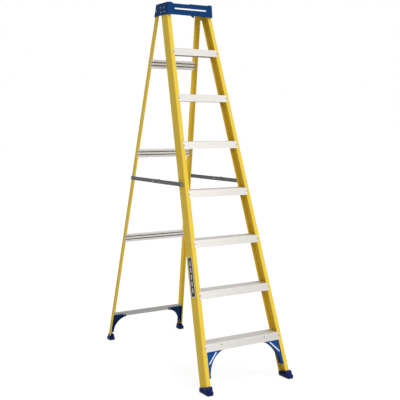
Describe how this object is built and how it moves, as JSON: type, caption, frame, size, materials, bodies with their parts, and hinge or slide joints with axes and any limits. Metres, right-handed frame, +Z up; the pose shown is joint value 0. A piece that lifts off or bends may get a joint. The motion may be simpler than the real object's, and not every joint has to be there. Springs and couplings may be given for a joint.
{
  "type": "step ladder",
  "caption": "Tall fibreglass A-frame step ladder with ribbed aluminium treads, moulded blue top cap, hinged rear frame and folding spreaders.",
  "frame": {"origin": "on the floor, at the middle of the box that holds the open ladder", "axes": "+Z up, the climbing side faces -Y, +X across the ladder to a climber's right"},
  "size_m": [0.616, 1.384, 2.3069],
  "materials": {
    "cap_plastic": "moulded blue plastic, fine grain, low sheen",
    "brace_plastic": "moulded blue plastic",
    "fibreglass": "pultruded yellow fibreglass, soft sheen along the pull",
    "foot_plastic": "dark navy moulded plastic",
    "rubber": "black rubber",
    "rivet_metal": "plain rivet heads",
    "bracket_aluminium": "mill finish",
    "step_aluminium": "extruded, mill finish",
    "rear_aluminium": "rolled, mill finish",
    "bar_aluminium": "plain, a little duller than the steps",
    "spreader_steel": "dark grey coated steel",
    "pivot_steel": "plated steel",
    "plate_steel": "plated steel"
  },
  "bodies": {
    "front_frame": {"cap_rivets": "rivet_metal", "front_brace_left": "brace_plastic", "front_brace_right": "brace_plastic", "front_foot_left": "foot_plastic", "front_foot_right": "foot_plastic", "front_lower_rivets": "rivet_metal", "front_pad_left": "rubber", "front_pad_right": "rubber", "front_rail_left": "fibreglass", "front_rail_right": "fibreglass", "hinge_pins": "rivet_metal", "hinge_plate_left": "plate_steel", "hinge_plate_right": "plate_steel", "spreader_pivots_front": "pivot_steel", "step_1": "step_aluminium", "step_2": "step_aluminium", "step_3": "step_aluminium", "step_4": "step_aluminium", "step_5": "step_aluminium", "step_6": "step_aluminium", "step_7": "step_aluminium", "step_bracket_1_left": "bracket_aluminium", "step_bracket_1_right": "bracket_aluminium", "step_bracket_2_left": "bracket_aluminium", "step_bracket_2_right": "bracket_aluminium", "step_bracket_3_left": "bracket_aluminium", "step_bracket_3_right": "bracket_aluminium", "step_bracket_4_left": "bracket_aluminium", "step_bracket_4_right": "bracket_aluminium", "step_bracket_5_left": "bracket_aluminium", "step_bracket_5_right": "bracket_aluminium", "step_bracket_6_left": "bracket_aluminium", "step_bracket_6_right": "bracket_aluminium", "step_bracket_7_left": "bracket_aluminium", "step_bracket_7_right": "bracket_aluminium", "step_rivets": "rivet_metal", "top_cap": "cap_plastic"},
    "rear_frame": {"rear_bottom_bar": "bar_aluminium", "rear_brace_left": "brace_plastic", "rear_brace_right": "brace_plastic", "rear_foot_left": "foot_plastic", "rear_foot_right": "foot_plastic", "rear_horizontal_lower": "rear_aluminium", "rear_horizontal_middle": "rear_aluminium", "rear_horizontal_upper": "rear_aluminium", "rear_pad_left": "rubber", "rear_pad_right": "rubber", "rear_rail_left": "fibreglass", "rear_rail_right": "fibreglass", "rear_rivets": "rivet_metal", "spreader_pivots_rear": "pivot_steel"},
    "spreader_front_left": {"front_knuckle_left": "pivot_steel", "front_link_left": "spreader_steel"},
    "spreader_front_right": {"front_knuckle_right": "pivot_steel", "front_link_right": "spreader_steel"},
    "spreader_rear_left": {"rear_knuckle_left": "pivot_steel", "rear_link_left": "spreader_steel"},
    "spreader_rear_right": {"rear_knuckle_right": "pivot_steel", "rear_link_right": "spreader_steel"}
  },
  "joints": [
    {"name": "fold", "type": "hinge", "parent": "front_frame", "child": "rear_frame", "pos_m": [0, 0.16824, 2.266], "axis": [-1, 0, 0], "range_deg": [0, 30]},
    {"name": "spreader_front_left_turn", "type": "hinge", "parent": "front_frame", "child": "spreader_front_left", "pos_m": [-0.23722, -0.27358, 1.178], "axis": [1, 0, 0], "range_deg": [0, 62.8]},
    {"name": "spreader_rear_left_turn", "type": "hinge", "parent": "rear_frame", "child": "spreader_rear_left", "pos_m": [-0.23322, 0.40944, 1.178], "axis": [-1, 0, 0], "range_deg": [0, 71.9]},
    {"name": "spreader_front_right_turn", "type": "hinge", "parent": "front_frame", "child": "spreader_front_right", "pos_m": [0.23722, -0.27358, 1.178], "axis": [1, 0, 0], "range_deg": [0, 62.8]},
    {"name": "spreader_rear_right_turn", "type": "hinge", "parent": "rear_frame", "child": "spreader_rear_right", "pos_m": [0.23322, 0.40944, 1.178], "axis": [-1, 0, 0], "range_deg": [0, 71.9]}
  ],
  "couplings": [
    {"joint": "spreader_front_left_turn", "follows": "fold", "ratio": 2.0893},
    {"joint": "spreader_rear_left_turn", "follows": "fold", "ratio": 2.394},
    {"joint": "spreader_front_right_turn", "follows": "fold", "ratio": 2.0893},
    {"joint": "spreader_rear_right_turn", "follows": "fold", "ratio": 2.394}
  ]
}
